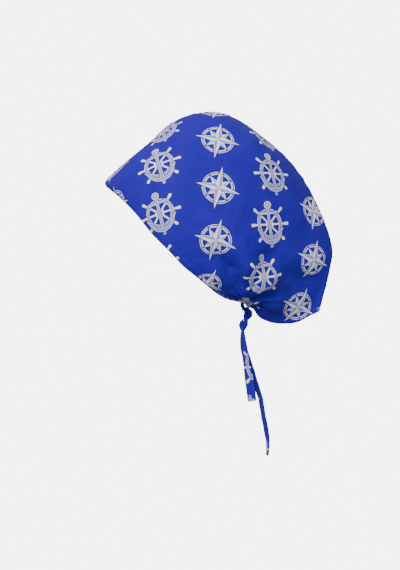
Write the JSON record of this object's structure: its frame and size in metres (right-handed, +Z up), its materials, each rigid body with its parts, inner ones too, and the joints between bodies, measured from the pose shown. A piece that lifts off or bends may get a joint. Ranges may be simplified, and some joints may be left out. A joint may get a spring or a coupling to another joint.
{
  "type": "scrub cap",
  "caption": "Tie-back surgical scrub cap in printed woven cotton, worn shape with a loose gathered bag at the back and ties knotted at the nape.",
  "frame": {"origin": "centre of the head opening, halfway between the hem's edge at the brow and the nape", "axes": "the wearer looks along -Y, +X is the wearer's left, +Z is up with the head upright"},
  "size_m": [0.176, 0.2548, 0.3841],
  "materials": {
    "crown_cloth": "matte woven cotton, royal blue with a white nautical print",
    "hem_cloth": "matte woven cotton, the print's paler back",
    "tie_cloth": "matte folded cotton tape, royal blue with white print"
  },
  "bodies": {
    "root": {"crown_left": "crown_cloth", "crown_right": "crown_cloth", "hem_casing": "hem_cloth", "left_tie": "tie_cloth", "right_tie": "tie_cloth"}
  },
  "joints": []
}
